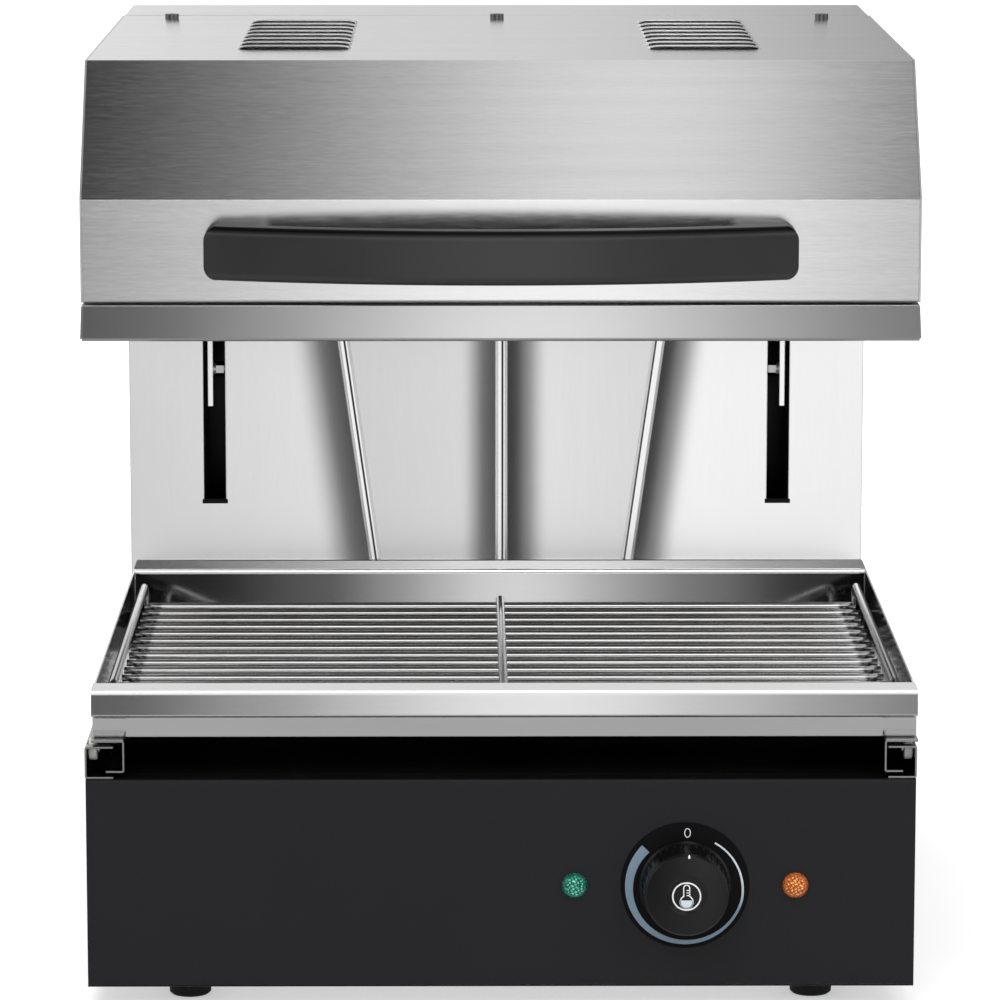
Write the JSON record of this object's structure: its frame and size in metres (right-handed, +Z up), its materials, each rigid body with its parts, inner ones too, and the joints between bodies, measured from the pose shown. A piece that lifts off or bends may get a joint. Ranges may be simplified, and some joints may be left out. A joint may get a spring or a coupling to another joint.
{
  "type": "electric salamander grill",
  "caption": "Worktop electric rise-and-fall salamander grill: counterweighted heated hood on a rear column over a wire grid in a sliding drip tray, with a knob and two lamps.",
  "frame": {"origin": "on the worktop under the middle of the grill's bounding box, at the underside of its feet", "axes": "+X to the right as the user faces the controls, +Y to the rear column, +Z up"},
  "size_m": [0.452, 0.529, 0.5133],
  "materials": {
    "brushed_stainless": "brushed satin",
    "polished_stainless": "bright polished",
    "black_enamel": "satin enamel",
    "zinc_plated_steel": "bright zinc plating",
    "screw_steel": "plain",
    "grid_chrome": "bright nickel-chrome plating",
    "black_plastic": "matte moulded",
    "dial_print": "printed film",
    "black_rubber": "matte",
    "green_lens": "translucent moulded",
    "amber_lens": "translucent moulded",
    "white_plastic": "moulded nylon",
    "element_sheath": "heat-darkened",
    "ceramic_fibre": "felted fibre board",
    "cast_iron": "painted casting",
    "steel_rope": "stranded"
  },
  "bodies": {
    "cabinet": {"base_pan": "brushed_stainless", "fascia": "black_enamel", "deck": "black_enamel", "side_panel_left": "brushed_stainless", "side_panel_right": "brushed_stainless", "column_front": "polished_stainless", "column_top": "brushed_stainless", "rear_cover": "brushed_stainless", "slot_buffers": "black_rubber", "feet": "black_rubber", "foot_screws": "screw_steel", "guide_channel_left": "zinc_plated_steel", "guide_channel_right": "zinc_plated_steel", "pulley_brackets": "zinc_plated_steel", "thermostat_body": "white_plastic", "dial_plate": "dial_print", "green_lens": "green_lens", "amber_lens": "amber_lens", "lamp_bodies": "white_plastic", "terminal_block": "white_plastic", "cable_gland": "black_plastic", "fixed_rail_left": "zinc_plated_steel", "fixed_rail_right": "zinc_plated_steel", "rail_screws": "screw_steel", "cabinet_screws": "screw_steel", "rope_bends": "steel_rope", "ropes_front": "steel_rope", "ropes_rear": "steel_rope"},
    "hood": {"hood_shell": "brushed_stainless", "hood_cheek_left": "brushed_stainless", "hood_cheek_right": "brushed_stainless", "hood_back": "brushed_stainless", "hood_skirt": "polished_stainless", "reflector": "polished_stainless", "insulation": "ceramic_fibre", "heating_elements": "element_sheath", "element_supports": "zinc_plated_steel", "handle": "black_plastic", "handle_screws": "screw_steel", "roof_screws": "screw_steel", "arm_left": "zinc_plated_steel", "arm_right": "zinc_plated_steel", "carriage_bar": "zinc_plated_steel", "roller_bolts": "screw_steel"},
    "upper_guide_rollers": {"guide_rollers_upper": "white_plastic"},
    "lower_guide_rollers": {"guide_rollers_lower": "white_plastic"},
    "counterweight": {"counterweight": "cast_iron", "weight_eyes": "screw_steel"},
    "pulley_set": {"pulley_shaft": "zinc_plated_steel", "pulleys": "cast_iron"},
    "knob": {"knob": "black_plastic", "thermostat_spindle": "screw_steel"},
    "tray": {"tray_pan": "polished_stainless", "slide_rail_left": "zinc_plated_steel", "slide_rail_right": "zinc_plated_steel"},
    "grid": {"wire_grid": "grid_chrome"},
    "front_rail_rollers": {"rail_rollers_front": "white_plastic"},
    "rear_rail_rollers": {"rail_rollers_rear": "white_plastic"}
  },
  "joints": [
    {"name": "hood_lift", "type": "slide", "parent": "cabinet", "child": "hood", "axis": [0, 0, 1], "range_m": [-0.15, 0], "deforming": ["ropes_front"]},
    {"name": "counterweight_travel", "type": "slide", "parent": "cabinet", "child": "counterweight", "axis": [0, 0, 1], "range_m": [0, 0.15], "deforming": ["ropes_rear"]},
    {"name": "pulley_turn", "type": "hinge", "parent": "cabinet", "child": "pulley_set", "pos_m": [0, 0.2095, 0.4783], "axis": [1, 0, 0], "range_deg": [-1, 431]},
    {"name": "upper_guide_roller_turn", "type": "hinge", "parent": "hood", "child": "upper_guide_rollers", "pos_m": [0, 0.1925, 0.4703], "axis": [1, 0, 0], "range_deg": [-783, 1]},
    {"name": "lower_guide_roller_turn", "type": "hinge", "parent": "hood", "child": "lower_guide_rollers", "pos_m": [0, 0.1925, 0.2907], "axis": [1, 0, 0], "range_deg": [-1, 783]},
    {"name": "tray_slide", "type": "slide", "parent": "cabinet", "child": "tray", "axis": [0, -1, 0], "range_m": [0, 0.24]},
    {"name": "front_rail_roller_turn", "type": "hinge", "parent": "cabinet", "child": "front_rail_rollers", "pos_m": [0, -0.2215, 0.1412], "axis": [1, 0, 0], "range_deg": [-1, 2293]},
    {"name": "rear_rail_roller_turn", "type": "hinge", "parent": "tray", "child": "rear_rail_rollers", "pos_m": [0, 0.1205, 0.13635], "axis": [1, 0, 0], "range_deg": [-1, 1823]},
    {"name": "grid_lift", "type": "slide", "parent": "tray", "child": "grid", "axis": [0, 0, 1], "range_m": [0, 0.035]},
    {"name": "thermostat_turn", "type": "hinge", "parent": "cabinet", "child": "knob", "pos_m": [0.1, -0.2375, 0.0685], "axis": [0, 1, 0], "range_deg": [0, 314]}
  ],
  "couplings": [
    {"joint": "counterweight_travel", "follows": "hood_lift", "ratio": -1},
    {"joint": "pulley_turn", "follows": "hood_lift", "rad_per_m": -50},
    {"joint": "upper_guide_roller_turn", "follows": "hood_lift", "rad_per_m": 90.909},
    {"joint": "lower_guide_roller_turn", "follows": "hood_lift", "rad_per_m": -90.909},
    {"joint": "front_rail_roller_turn", "follows": "tray_slide", "rad_per_m": 166.67},
    {"joint": "rear_rail_roller_turn", "follows": "tray_slide", "rad_per_m": 132.45}
  ]
}
